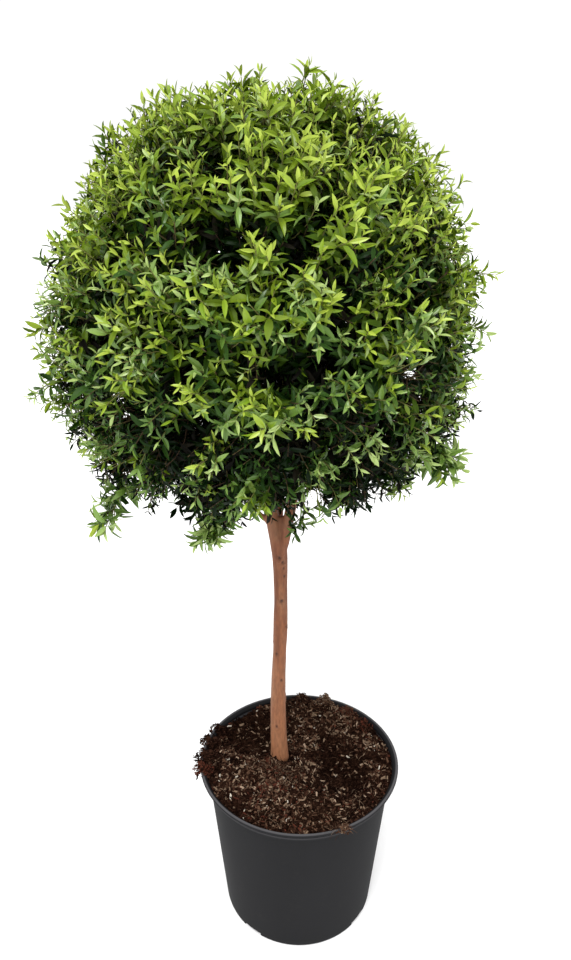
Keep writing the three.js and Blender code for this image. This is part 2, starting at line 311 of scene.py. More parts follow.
class Nodes:
    """A short way to write a material's node tree."""

    def __init__(self, name):
        self.material = bpy.data.materials.new(name)
        self.material.use_nodes = True
        self.tree = self.material.node_tree
        self.shader = self.tree.nodes["Principled BSDF"]
        self.place = self.add("ShaderNodeTexCoord").outputs["Object"]

    def add(self, kind, **settings):
        node = self.tree.nodes.new(kind)
        for key, value in settings.items():
            setattr(node, key, value)
        return node

    def link(self, source, target):
        self.tree.links.new(source, target)

    def stretched(self, scale):
        mapping = self.add("ShaderNodeMapping")
        mapping.inputs["Scale"].default_value = scale
        self.link(self.place, mapping.inputs["Vector"])
        return mapping.outputs["Vector"]

    def noise(self, scale, detail=4.0, roughness=0.55, stretch=None):
        node = self.add("ShaderNodeTexNoise")
        node.inputs["Scale"].default_value = scale
        node.inputs["Detail"].default_value = detail
        node.inputs["Roughness"].default_value = roughness
        self.link(self.stretched(stretch) if stretch else self.place, node.inputs["Vector"])
        return node.outputs["Fac"]

    def ramp(self, source, stops):
        node = self.add("ShaderNodeValToRGB")
        elements = node.color_ramp.elements
        while len(elements) < len(stops):
            elements.new(0.5)
        for element, (place, colour) in zip(elements, stops):
            element.position = place
            element.color = (*colour, 1)
        self.link(source, node.inputs["Fac"])
        return node.outputs["Color"]

    def range(self, source, low, high, to_low, to_high):
        node = self.add("ShaderNodeMapRange")
        for key, value in zip(("From Min", "From Max", "To Min", "To Max"), (low, high, to_low, to_high)):
            node.inputs[key].default_value = value
        self.link(source, node.inputs["Value"])
        return node.outputs["Result"]

    def mix(self, factor, first, second):
        node = self.add("ShaderNodeMix", data_type="RGBA")
        self.set(node.inputs["Factor"], factor)
        self.set(node.inputs[6], first)
        self.set(node.inputs[7], second)
        return node.outputs[2]

    def set(self, socket, value):
        if isinstance(value, bpy.types.NodeSocket):
            self.link(value, socket)
        else:
            socket.default_value = (*value, 1) if isinstance(value, tuple) else value

    def bump(self, height, strength, distance, before=None):
        node = self.add("ShaderNodeBump")
        node.inputs["Strength"].default_value = strength
        node.inputs["Distance"].default_value = distance
        self.link(height, node.inputs["Height"])
        if before:
            self.link(before, node.inputs["Normal"])
        return node.outputs["Normal"]

    def finish(self, colour, roughness, normal=None):
        self.set(self.shader.inputs["Base Color"], colour)
        self.set(self.shader.inputs["Roughness"], roughness)
        if normal:
            self.link(normal, self.shader.inputs["Normal"])
        return self.material


def bark_material():
    """Thin cinnamon bark: long streaks, greyer flakes and dark scars."""
    n = Nodes("bark")
    streaks = n.noise(90, 5, 0.6, stretch=(1, 1, 0.12))
    colour = n.ramp(
        streaks,
        [
            (0.3, (0.085, 0.023, 0.007)),
            (0.45, (0.185, 0.055, 0.0175)),
            (0.58, (0.24, 0.079, 0.026)),
            (0.75, (0.31, 0.130, 0.050)),
        ],
    )
    flakes = n.range(n.noise(38, 4, 0.65, stretch=(1, 1, 0.35)), 0.52, 0.66, 0, 0.75)
    colour = n.mix(flakes, colour, (0.245, 0.108, 0.046))
    split = n.add("ShaderNodeSeparateXYZ")
    n.link(n.place, split.inputs["Vector"])
    colour = n.mix(n.range(split.outputs["Z"], 0.42, 0.21, 0, 0.6), colour, (0.42, 0.19, 0.090))
    fine = n.noise(420, 3, 0.6, stretch=(1, 1, 0.25))
    colour = n.mix(n.range(fine, 0.35, 0.7, 0.0, 0.5), colour, (0.085, 0.030, 0.013))
    scar = n.add("ShaderNodeAttribute", attribute_name="scar").outputs["Fac"]
    colour = n.mix(scar, colour, (0.05, 0.018, 0.01))
    normal = n.bump(streaks, 0.35, 0.0012)
    normal = n.bump(fine, 0.4, 0.0004, normal)
    return n.finish(colour, n.range(streaks, 0.3, 0.7, 0.82, 0.6), normal)


def pot_material(rim_height):
    """Injection-moulded black polypropylene, a little dusty, with painted highlights on the lip and ridge
    and painted shade in the groove between them.
    """
    n = Nodes("pot_plastic")
    cloud = n.noise(14, 5, 0.6, stretch=(1, 1, 0.3))
    colour = n.ramp(cloud, [(0.3, (0.0122, 0.0122, 0.0132)), (0.7, (0.0168, 0.0168, 0.0180))])
    dust = n.range(n.noise(60, 6, 0.7), 0.60, 0.82, 0, 0.25)
    colour = n.mix(dust, colour, (0.04, 0.036, 0.03))
    split = n.add("ShaderNodeSeparateXYZ")
    n.link(n.place, split.inputs["Vector"])
    band = n.range(split.outputs["Z"], rim_height - 0.012, rim_height, 0, 1)
    # Painted shade: a darker line in the groove under the lip.
    groove_shade = n.ramp(band, [(0.42, (0, 0, 0)), (0.52, (1, 1, 1)), (0.62, (1, 1, 1)), (0.7, (0, 0, 0))])
    colour = n.mix(groove_shade, colour, (0.0035, 0.0035, 0.004))
    # Painted highlight: paler on the ridge round the collar and along the top of the lip.
    lip_and_ridge_highlight = n.ramp(
        band,
        [
            (0.12, (0, 0, 0)),
            (0.28, (0.55, 0.55, 0.55)),
            (0.38, (0, 0, 0)),
            (0.9, (0, 0, 0)),
            (1, (1, 1, 1)),
        ],
    )
    colour = n.mix(lip_and_ridge_highlight, colour, (0.078, 0.076, 0.080))
    grain = n.noise(900, 2, 0.5)
    normal = n.bump(grain, 0.2, 0.0002)
    n.set(n.shader.inputs["Specular IOR Level"], 0.055)
    return n.finish(colour, n.range(cloud, 0.3, 0.75, 0.6, 0.72), normal)


def soil_material():
    n = Nodes("potting_mix")
    crumbs = n.noise(420, 6, 0.75)
    colour = n.ramp(
        crumbs,
        [
            (0.3, (0.003, 0.0010, 0.0005)),
            (0.48, (0.011, 0.0042, 0.0023)),
            (0.62, (0.04, 0.019, 0.011)),
            (0.8, (0.11, 0.062, 0.038)),
        ],
    )
    normal = n.bump(crumbs, 0.9, 0.002)
    n.set(n.shader.inputs["Specular IOR Level"], 0.03)
    return n.finish(colour, 1.0, normal)


def floor_material():
    n = Nodes("studio_floor")
    return n.finish((0.93, 0.93, 0.93), 0.8)


# ------------------------------------------------------------------------------ pot


def lathe(name, profile, sides, material):
    """A closed body of revolution about Z; the profile starts and ends on the axis."""
    radius, height = np.array(profile, float).T
    angle = np.linspace(0, 2 * np.pi, sides, endpoint=False)
    inner = slice(1, len(radius) - 1)
    rings = np.stack(
        [
            radius[inner, None] * np.cos(angle),
            radius[inner, None] * np.sin(angle),
            np.repeat(height[inner, None], sides, 1),
        ],
        -1,
    ).reshape(-1, 3)
    verts = np.vstack([rings, [[0, 0, height[0]], [0, 0, height[-1]]]])
    count = len(radius) - 2
    here = np.arange(sides)
    there = (here + 1) % sides
    row = (np.arange(count - 1) * sides)[:, None]
    walls = np.stack([row + here, row + there, row + sides + there, row + sides + here], -1).reshape(-1, 4)
    low = np.stack([np.full(sides, len(rings)), there, here], -1)
    top = (count - 1) * sides
    high = np.stack([np.full(sides, len(rings) + 1), top + here, top + there], -1)
    return mesh_object(name, verts, [(walls, 0), (low, 0), (high, 0)], [material])


def arc(centre, radius, start, end, steps):
    """Points of a small round in a profile, from one angle in degrees to another."""
    angles = np.radians(np.linspace(start, end, steps))
    return [(centre[0] + radius * math.cos(a), centre[1] + radius * math.sin(a)) for a in angles]


def pot_sizes():
    low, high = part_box("pot")
    verts = node_verts("pot")
    base = verts[verts[:, 2] < low.z + 0.0001]
    return {"rim": high.x, "height": high.z, "base": float(np.hypot(base[:, 0], base[:, 1]).max())}


def make_pot():
    size = pot_sizes()
    rim, height, base = size["rim"], size["height"], size["base"]
    collar, lip, wall, foot = 0.018, 0.0021, 0.002, 0.0025
    shoulder = height - collar
    body = rim - 0.011  # outer radius just below the collar
    slope = (body - base - foot) / (shoulder - foot)

    def wall_radius(z):
        return base + foot + slope * (z - foot)

    profile = [(0, 0), (0.3 * base, 0), (0.7 * base, 0), (base - 0.001, 0)]
    profile += arc((base - 0.0005, foot + 0.0005), foot + 0.0005, -80, -8, 6)
    profile += [(wall_radius(z), z) for z in np.linspace(0.008, shoulder - 0.004, 26)]
    ridge = rim - 0.0055  # centre of the rounded ridge round the middle of the collar
    profile += [(wall_radius(shoulder - 0.002), shoulder - 0.002), (body + 0.0006, shoulder)]
    profile += [(body + 0.0020, shoulder + 0.0025), (body + 0.0034, shoulder + 0.0050)]
    profile += arc((ridge, height - 0.0092), 0.0020, -50, 62, 9)
    profile += [(rim - 0.0070, height - 0.0068), (rim - 0.0078, height - 0.0055)]
    profile += [(rim - 0.0070, height - 0.0043)]
    profile += arc((rim - lip, height - lip), lip, -100, 128, 18)
    inside = rim - lip - 0.0034
    profile += [(inside, height - 0.0036)]
    for t in (0.15, 0.35, 0.65, 1.0):
        profile += [(inside - 0.0050 * t, height - 0.0036 - (collar - 0.005) * t)]
    profile += [(wall_radius(shoulder - 0.002) - wall, shoulder - 0.0035)]
    profile += [(wall_radius(z) - wall, z) for z in np.linspace(shoulder - 0.02, 0.006, 9)]
    profile += [(base - 0.003, 0.003), (0.6 * base, 0.003), (0, 0.003)]
    pot = lathe("pot_shell", profile, 192, pot_material(height))
    cut_drains(pot, base)
    add_gate_mark(pot, wall_radius)
    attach(pot, "root")
    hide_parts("pot")
    return pot


def cut_drains(pot, base):
    """Slots through the foot of the wall, where the CAD pot has them."""
    for i in range(DRAIN["count"]):
        azimuth = math.radians(DRAIN["first"] + i * 360 / DRAIN["count"])
        bpy.ops.mesh.primitive_cube_add(size=1)
        slot = bpy.context.object
        slot.rotation_euler = (0, 0, azimuth)
        slot.scale = (2 * DRAIN["depth"], DRAIN["width"], 2 * DRAIN["height"])
        slot.location = (base * math.cos(azimuth), base * math.sin(azimuth), 0)
        corners = slot.modifiers.new("corners", "BEVEL")
        corners.width, corners.segments = 0.0025, 4
        cut = pot.modifiers.new("drain", "BOOLEAN")
        cut.object = slot
        cut.operation = "DIFFERENCE"
        cut.solver = "EXACT"
        bpy.context.view_layer.objects.active = pot
        bpy.ops.object.modifier_apply(modifier=cut.name)
        bpy.data.objects.remove(slot)


def add_gate_mark(pot, wall_radius):
    """The small round mark that moulding leaves, low on the front of the wall."""
    spot, size, dent = Vector((0.002, -wall_radius(0.155), 0.155)), 0.0035, 0.0006
    for vert in pot.data.vertices:
        away = (vert.co - spot).length / size
        if away < 2:
            vert.co.y += dent * math.exp(-away * away)


# ------------------------------------------------------------------------------ potting mix


def make_soil():
    surface = surface_of("soil")
    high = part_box("soil")[1]
    edge, rings, sides = high.x, 70, 240
    angle = np.linspace(0, 2 * np.pi, sides, endpoint=False)
    radius = edge * np.sqrt(np.linspace(0.0004, 1, rings))
    x = (radius[:, None] * np.cos(angle)).ravel()
    y = (radius[:, None] * np.sin(angle)).ravel()
    z = np.array([soil_level(surface, px, py, high.z) for px, py in zip(x, y)])
    verts = np.stack([x, y, z + mix_relief(x, y, edge)], -1)
    here, there = np.arange(sides), (np.arange(sides) + 1) % sides
    top = ring_quads(rings, sides)
    under = verts[-sides:] * np.array([0.9, 0.9, 1]) - np.array([0, 0, 0.02])
    outer, inner = (rings - 1) * sides, rings * sides
    skirt = np.stack([outer + here, inner + here, inner + there, outer + there], -1)
    floor, middle = (inner + here)[::-1][None, :], here[None, :]
    groups = [(top, 0), (skirt, 0), (floor, 0), (middle, 0)]
    soil = mesh_object("soil_surface", np.vstack([verts, under]), groups, [soil_material()])
    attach(soil, "root")
    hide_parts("soil")
    return surface, edge, high.z


def mix_relief(x, y, edge):
    """Clods and hollows of the mix above and below its general level; none at the rim."""
    flat = np.stack([x, y, np.zeros_like(x)], -1)
    fade = np.clip((edge - np.hypot(x, y)) / 0.010, 0, 1)
    clods = 0.0080 * layered_noise(flat * 62, 3, 5) + 0.0042 * np.abs(layered_noise(flat * 170, 2, 9))
    mound = 0.006 * np.exp(-(((x + 0.030) / 0.040) ** 2) - ((y + 0.052) / 0.034) ** 2)
    return (clods + mound - HOLLOW_DEPTH * in_hollow(x, y)) * fade


def soil_level(surface, x, y, top):
    hit = surface.ray_cast(Vector((x * 0.995, y * 0.995, top + 0.05)), Vector((0, 0, -1)))[0]
    return hit.z if hit else top - 0.01


SOIL_TINTS = [
    (0.0060, 0.0020, 0.0010),
    (0.0160, 0.0062, 0.0036),
    (0.037, 0.0160, 0.0095),
    (0.090, 0.048, 0.029),
    (0.19, 0.128, 0.084),
    (0.52, 0.46, 0.38),
    (0.075, 0.022, 0.013),
    (0.33, 0.235, 0.165),
]
# Share of each tint on clod tops (painted light), on the level and in hollows and crevices (painted shade).
LIT_TOP_SHARE = [0.09, 0.15, 0.22, 0.27, 0.20, 0.02, 0.05]
SOIL_SHARE = [0.33, 0.27, 0.18, 0.10, 0.05, 0.005, 0.065]
SHADED_HOLLOW_SHARE = [0.74, 0.21, 0.03, 0.01, 0.0, 0.0, 0.01]

CRUMBS, STRAWS, FIBRES = 7000, 340, 1250
HOLLOW_DEPTH = 0.014

# Heaps of bits: x, y, how far they spread, how many, how long, how high they are heaped and their tints.
HEAPS = [
    (-0.036, -0.058, 0.036, 760, 0.0048, 0.008, (1, 2, 3, 4, 6)),
    (-0.1235, -0.022, 0.0120, 560, 0.0038, 0.013, (1, 2, 6, 6)),
    (-0.1215, 0.002, 0.0130, 520, 0.0042, 0.013, (0, 1, 2, 2)),
    (-0.1170, 0.028, 0.0150, 560, 0.0044, 0.013, (0, 1, 2, 2)),
    (-0.1080, 0.054, 0.0130, 380, 0.0042, 0.012, (0, 1, 1, 2)),
    (0.008, 0.112, 0.017, 340, 0.0040, 0.018, (1, 2, 3)),
    (0.040, 0.106, 0.018, 380, 0.0036, 0.018, (2, 3, 4)),
    (0.070, 0.088, 0.017, 320, 0.0036, 0.017, (2, 3, 6)),
    (0.093, 0.066, 0.014, 260, 0.0038, 0.013, (1, 2, 6)),
    (0.050, -0.1165, 0.0095, 240, 0.0036, 0.008, (2, 3, 4)),
]
# Long shards of bark: middle, the way they point and length.
SHARDS = [
    ((-0.133, -0.006, 0.2215), (-0.95, 0.1, 0.3), 0.016),
    ((-0.131, -0.012, 0.2235), (-0.8, -0.2, 0.25), 0.013),
    ((-0.121, 0.045, 0.2215), (-0.6, 0.2, 0.7), 0.014),
    ((-0.118, 0.050, 0.2190), (-0.8, 0.1, 0.3), 0.013),
    ((-0.131, -0.030, 0.2150), (-0.2, -0.25, -0.9), 0.015),
]
# Pale grit: place and length.
GRIT = [
    (0.066, 0.016, 0.0078),
    (0.049, -0.006, 0.0034),
    (0.102, 0.020, 0.0026),
    (0.064, 0.045, 0.0022),
    (-0.02, -0.05, 0.0028),
]
# Tufts of coir: where, how far they spread, how many fibres and how long the longest is.
FIBRE_TUFTS = [
    (-0.030, -0.034, 0.026, 320, 0.013),
    (0.046, -0.119, 0.008, 80, 0.013),
    (-0.122, -0.010, 0.012, 90, 0.014),
]


def make_soil_bits(surface, edge, top):
    """Crumbs, bark chips and grit on the mix, with the heaps that lie against and over the rim."""
    rng = np.random.default_rng(77)
    materials = [plain_material(f"mix_tint_{i}", tint, 0.95, 0.04) for i, tint in enumerate(SOIL_TINTS)]
    lots = [crumbs(edge, rng)]
    lots += [heap_bits(*heap, rng) for heap in HEAPS]
    lots += [straws(edge, rng), grit()]
    x, y, length, lift, tint = (np.concatenate(values) for values in zip(*lots))
    out = np.hypot(x, y)
    strays = (out > edge - 0.001) & (y > 0.06)
    x[strays] *= (edge - 0.003) / out[strays]
    y[strays] *= (edge - 0.003) / out[strays]
    past = np.clip((np.hypot(x, y) - edge) / 0.004, 0, 1)
    z = mix_height(surface, edge, top, x, y)
    centres = np.stack([x, y, z + lift + past * 0.007], -1)
    centres = np.vstack([centres, [middle for middle, _, _ in SHARDS]])
    length = np.append(np.minimum(length, 0.0078), [size for _, _, size in SHARDS])
    tint = np.append(tint, np.zeros(len(SHARDS), int))
    turn = unit(rng.normal(size=(len(centres), 3)) * [1, 1, 0.5])
    turn[-len(SHARDS) :] = unit(np.array([way for _, way, _ in SHARDS]))
    bits = scatter_bits("bark_bits", centres, turn, length, tint, materials, rng)
    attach(bits, "root")
    make_fibres(surface, edge, top, rng, materials)


def crumbs(edge, rng):
    """Place, length, lift and tint of the bits all over the mix: painted light on tops, painted shade in
    hollows.
    """
    x, y = spread_evenly(edge - 0.0005, CRUMBS, rng)
    length, lift = 0.0007 + 0.00165 * rng.gamma(2.0, 1.0, CRUMBS), rng.uniform(0.0, 0.0024, CRUMBS)
    # The back right is counted higher when tints are dealt, so it takes more of the paler tints.
    dry = 0.0050 * np.exp(-(((x - 0.035) / 0.040) ** 2) - ((y - 0.070) / 0.036) ** 2)
    place = np.stack([x, y, np.zeros(CRUMBS)], -1)
    height = mix_relief(x, y, edge) + dry + 0.0040 * layered_noise(place * 105, 2, 15)
    # Painted shade: the darkest tints go to the hollows and crevices; painted light: the palest go to the
    # tops.
    kinds = [rng.choice(7, CRUMBS, p=share) for share in (SHADED_HOLLOW_SHARE, SOIL_SHARE, LIT_TOP_SHARE)]
    return x, y, length, lift, np.select([height < -0.0006, height < 0.0018], kinds[:2], kinds[2])


def heap_bits(x, y, spread, count, length, lift, tints, rng):
    away = np.minimum(np.abs(rng.normal(0, 0.55, count)), 1.1) * spread
    angle = rng.random(count) * 2 * np.pi
    length = length * rng.uniform(0.5, 1.35, count)
    lift = rng.random(count) * lift * np.exp(-((away / spread) ** 2))
    return x + away * np.cos(angle), y + away * np.sin(angle), length, lift, rng.choice(tints, count)


def straws(edge, rng):
    x, y = spread_evenly(0.92 * edge, STRAWS, rng)
    length, lift = rng.uniform(0.0035, 0.0078, STRAWS), rng.uniform(0.0008, 0.003, STRAWS)
    return x, y, length, lift, rng.choice([3, 4, 4, 7], STRAWS)


def spread_evenly(reach, count, rng):
    """Places spread evenly over a round."""
    out, around = reach * np.sqrt(rng.random(count)), rng.random(count) * 2 * np.pi
    return out * np.cos(around), out * np.sin(around)


def grit():
    x, y, length = np.array(GRIT).T
    return x, y, length, np.full(len(GRIT), 0.0050), np.full(len(GRIT), 5)


def mix_height(surface, edge, top, x, y):
    """Height of the mix at each place; past its edge, the height at the edge."""
    inward = np.minimum(1, edge / np.hypot(x, y))
    z = np.array([soil_level(surface, px, py, top) for px, py in zip(x * inward, y * inward)])
    return z + mix_relief(x, y, edge)


def in_hollow(x, y):
    """How deep in one of the two dark hollows a place lies, from 0 to 1."""
    left = ((x + 0.066) / 0.032) ** 2 + ((y - 0.054) / 0.042) ** 2
    right = ((x - 0.053) / 0.025) ** 2 + ((y + 0.010) / 0.044) ** 2
    return np.exp(-(left**2)) + np.exp(-(right**2))


def scatter_bits(name, centres, turn, length, tint, materials, rng):
    """Uneven little blocks of bark and crumb, each turned its own way."""
    count = len(centres)
    flat = np.minimum(rng.uniform(0.26, 0.7, count), 0.0020 / length * rng.uniform(0.7, 1.5, count))
    size = np.stack([length / 2, length / 2 * flat, length / 2 * flat * rng.uniform(0.35, 0.9, count)], -1)
    side = unit(np.cross(turn, rng.normal(size=(count, 3))))
    over = np.cross(turn, side)
    corners = np.array([(a, b, c) for a in (-1, 1) for b in (-1, 1) for c in (-1, 1)], float)
    shape = corners[None] * rng.uniform(0.35, 1.15, (count, 8, 3))
    verts = centres[:, None]
    for i, direction in enumerate((turn, side, over)):
        verts = verts + shape[..., i : i + 1] * (size[:, i : i + 1] * direction)[:, None]
    box = np.array([(0, 1, 3, 2), (4, 6, 7, 5), (0, 4, 5, 1), (2, 3, 7, 6), (0, 2, 6, 4), (1, 5, 7, 3)])
    faces = (np.arange(count)[:, None, None] * 8 + box).reshape(-1, 4)
    return mesh_object(name, verts.reshape(-1, 3), [(faces, np.repeat(tint, 6))], materials, smooth=False)


def make_fibres(surface, edge, top, rng, materials):
    """Coir hairs: scattered, raying out of the mound and tangled at the rim."""
    x, y = spread_evenly(edge - 0.002, FIBRES, rng)
    lean = rng.normal(size=(FIBRES, 3)) * [1, 1, 0.55]
    length = rng.uniform(0.004, 0.013, FIBRES)
    for tx, ty, spread, n, reach in FIBRE_TUFTS:
        away, angle = np.abs(rng.normal(0, 0.6, n)) * spread, rng.random(n) * 2 * np.pi
        x, y = np.append(x, tx + away * np.cos(angle)), np.append(y, ty + away * np.sin(angle))
        ray = np.stack([np.cos(angle), np.sin(angle), rng.uniform(-0.1, 0.7, n)], -1)
        lean = np.vstack([lean, ray + rng.normal(0, 0.35, (n, 3))])
        length = np.append(length, rng.uniform(0.4, 1.0, n) * reach)
    count = len(x)
    past = np.clip((np.hypot(x, y) - edge) / 0.004, 0, 1)
    z = mix_height(surface, edge, top, x, y)
    start = np.stack([x, y, z + 0.0015 + past * 0.008], -1)
    end = start + unit(lean) * length[:, None]
    end[:, 2] = np.maximum(end[:, 2], start[:, 2] - 0.001)
    middle = (start + end) / 2 + rng.normal(0, 0.0018, (count, 3)) + UP * 0.0025
    thick = rng.uniform(0.00014, 0.00034, count)
    verts, walls = tube_mesh(start, middle, end, thick, thick * 0.6, 3, 3)
    tint = rng.choice([1, 2, 3, 4], count, p=[0.25, 0.35, 0.27, 0.13])
    groups = [(f, np.repeat(tint, len(f) // count)) for f in walls]
    fibres = mesh_object("coir_fibres", verts, groups, materials)
    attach(fibres, "root")


# ------------------------------------------------------------------------------ stem and boughs

LIMBS = ["leader_bough", "right_bough", "back_bough", "left_bough", "left_spur"]


def limb_ends(node):
    """Foot, tip and radii of a CAD bough, from the outermost rings of its mesh."""
    verts = node_verts(node)
    fork = node_verts("trunk")[:, 2].max()
    anchor = np.array([*node_verts("trunk")[node_verts("trunk")[:, 2] > fork - 0.001].mean(0)[:2], fork])
    axis = unit(verts.mean(0) - anchor)
    spread = (verts - verts.mean(0)) @ axis
    low, high = verts[spread < spread.min() + 0.012], verts[spread > spread.max() - 0.012]
    foot, tip = low.mean(0), high.mean(0)
    axis = unit(tip - foot)

    def girth(ring, centre):
        flat = (ring - centre) - ((ring - centre) @ axis)[:, None] * axis
        return float(np.linalg.norm(flat, axis=1).mean())

    return foot, tip, girth(low, foot), girth(high, tip)


def trunk_stations(count=16):
    """Centre and radius of the CAD trunk at even heights."""
    verts = node_verts("trunk")
    low, high = verts[:, 2].min(), verts[:, 2].max()
    stations = []
    for z in np.linspace(low, high, count):
        near = verts[np.abs(verts[:, 2] - z) < 0.009]
        centre = near[:, :2].mean(0)
        radius = np.hypot(*(near[:, :2] - centre).T)
        stations.append((np.array([*centre, z]), float(radius[radius > 0.5 * radius.max()].mean())))
    return stations


def bent_tube(points, radii, sides=28):
    """Vertices and faces of a closed tube through many stations."""
    points, radii = np.array(points), np.array(radii)
    tangent = unit(np.gradient(points, axis=0))
    side = unit(np.cross(tangent, [0.15, 1.0, 0.05]))
    over = np.cross(side, tangent)
    angle = np.linspace(0, 2 * np.pi, sides, endpoint=False)[None, :, None]
    ring = side[:, None] * np.cos(angle) + over[:, None] * np.sin(angle)
    verts = (points[:, None] + radii[:, None, None] * ring).reshape(-1, 3)
    first, last = np.arange(sides)[None, :], (len(points) - 1) * sides + np.arange(sides)[None, ::-1]
    return verts, [ring_quads(len(points), sides), first, last]


# Scars of shoots that were rubbed off the stem: height above its foot as a share, compass direction, size.
SCARS = [
    (0.945, -92, 0.0026),
    (0.925, -70, 0.0020),
    (0.90, -60, 0.0017),
    (0.865, -58, 0.0015),
    (0.76, -82, 0.0024),
    (0.64, -35, 0.0020),
    (0.52, -120, 0.0022),
    (0.40, -66, 0.0018),
    (0.30, 20, 0.0022),
    (0.71, 95, 0.0024),
    (0.56, 150, 0.0020),
    (0.33, 110, 0.0024),
    (0.18, -100, 0.0018),
]


def make_limbs(tips):
    """Stem and boughs as one skin with the bark's relief; tips are where the boughs hand over to twigs."""
    stations = trunk_stations()
    verts, groups, offset = [], [], 0
    for tube, faces in limb_tubes(stations, tips):
        verts.append(tube)
        groups += [(f + offset, 0) for f in faces]
        offset += len(tube)
    limbs = mesh_object("stem_and_boughs", np.vstack(verts), groups, [bark_material()])
    skin_over(limbs)
    add_bark_relief(limbs, stations)
    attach(limbs, "root")
    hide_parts("trunk", *LIMBS)
    return limbs


def limb_tubes(stations, tips):
    """A tube up the stem and the leader, the web at the fork, and one tube for each other bough."""
    ends = {node: limb_ends(node) for node in LIMBS}
    leader = ends[LIMBS[0]]
    main = [centre for centre, _ in stations] + [leader[0] + (leader[1] - leader[0]) * 0.35, leader[1]]
    main.append(tips[LIMBS[0]]["start"])
    girths = [radius for _, radius in stations] + [leader[2] * 1.05, leader[3], tips[LIMBS[0]]["radius"]]
    main, girths = smooth_line(np.array(main), np.array(girths), 150, 3)
    tubes = [bent_tube(main, girths)]
    web, girth = crotch_web(main, stations[-1][0], ends[LIMBS[1]])
    tubes.append(bent_tube(*smooth_line(web, girth, 24, 2), 20))
    for node in LIMBS[1:]:
        foot, tip, r_foot, r_tip = ends[node]
        nearest = main[np.linalg.norm(main - (foot - UP * 0.026), axis=1).argmin()]
        line = [nearest, nearest + (foot - nearest) * 0.6, foot, (foot + tip) / 2, tip]
        girth = [r_foot * 0.8, r_foot * 1.02, r_foot * 1.06, (r_foot + r_tip) / 2, r_tip]
        line, girth = np.array([*line, tips[node]["start"]]), np.array([*girth, tips[node]["radius"]])
        tubes.append(bent_tube(*smooth_line(line, girth, 50, 5), 20))
    return tubes


def skin_over(limbs):
    """One closed skin over all the tubes, softened where they join."""
    bpy.context.view_layer.objects.active = limbs
    remesh = limbs.modifiers.new("skin", "REMESH")
    remesh.mode = "VOXEL"
    remesh.voxel_size = 0.00105
    soften = limbs.modifiers.new("soften", "SMOOTH")
    soften.iterations = 10
    bpy.ops.object.modifier_apply(modifier=remesh.name)
    bpy.ops.object.modifier_apply(modifier=soften.name)


def crotch_web(main, fork, bough):
    """The swollen bark that joins the leader and the right bough for a little way above the fork."""
    foot, tip, _, _ = bough
    stations = []
    for rise in (-0.014, 0.0, 0.012, 0.024, 0.033):
        height = fork[2] + rise
        leader = main[np.abs(main[:, 2] - height).argmin()]
        share = max(0, (height - foot[2]) / (tip[2] - foot[2]))
        stations.append((leader + foot + (tip - foot) * share) / 2)
    stations[0] = main[np.abs(main[:, 2] - fork[2] + 0.014).argmin()]
    return np.array(stations), np.array([0.0080, 0.0080, 0.0070, 0.0058, 0.0030])


def smooth_line(points, radii, count, passes):
    """A line and its radii, made finer and softened, with both ends kept."""
    fine = np.linspace(0, len(points) - 1, count)
    place = np.arange(len(points))
    line = np.stack([np.interp(fine, place, points[:, i]) for i in range(3)], -1)
    girth = np.interp(fine, place, radii)
    for _ in range(passes * 3):
        line[1:-1] = (line[:-2] + 2 * line[1:-1] + line[2:]) / 4
        girth[1:-1] = (girth[:-2] + 2 * girth[1:-1] + girth[2:]) / 4
    return line, girth


def add_bark_relief(limbs, stations):
    mesh = limbs.data
    count = len(mesh.vertices)
    place, normal = np.zeros(count * 3), np.zeros(count * 3)
    mesh.vertices.foreach_get("co", place)
    mesh.vertices.foreach_get("normal", normal)
    place, normal = place.reshape(-1, 3), normal.reshape(-1, 3)
    long_grain = place * [150, 150, 17]
    plates = layered_noise(place * [85, 85, 26], 2, 3)
    relief = 0.00042 * layered_noise(long_grain, 3, 11)
    relief += 0.00028 * np.tanh(6 * plates)
    relief += 0.00065 * noise(place * [34, 34, 11], 21)
    scarred = carve_scars(place, relief, stations)
    flat_cut = place[:, 2] < stations[0][0][2] + 0.0004
    relief[flat_cut] = 0
    mesh.vertices.foreach_set("co", (place + normal * relief[:, None]).ravel())
    scar = mesh.attributes.new("scar", "FLOAT", "POINT")
    scar.data.foreach_set("value", np.clip(scarred, 0, 1).astype(np.float32))
    mesh.polygons.foreach_set("use_smooth", np.ones(len(mesh.polygons), bool))
    mesh.update()


def carve_scars(place, relief, stations):
    """Raises a lip round each scar and sinks its middle. Returns how scarred each place is, from 0 to 1."""
    low, high = stations[0][0][2], stations[-1][0][2]
    scarred = np.zeros(len(place))
    for share, azimuth, size in SCARS:
        centre, radius = stations[int(round(share * (len(stations) - 1)))]
        a = math.radians(azimuth)
        spot = np.array([*centre[:2], low + share * (high - low)])
        spot = spot + radius * np.array([math.cos(a), math.sin(a), 0])
        away = np.linalg.norm((place - spot) * [1, 1, 0.62], axis=1) / size
        away *= 1 + 0.45 * noise(place * 620, 51)
        relief += 0.0009 * np.exp(-((away - 1.15) ** 2) / 0.35) * (size / 0.0024)
        relief -= 0.0013 * np.exp(-((away / 0.62) ** 2)) * (size / 0.0024)
        scarred = np.maximum(scarred, np.exp(-((away / 0.7) ** 2)))
    return scarred


# ------------------------------------------------------------------------------ shoots


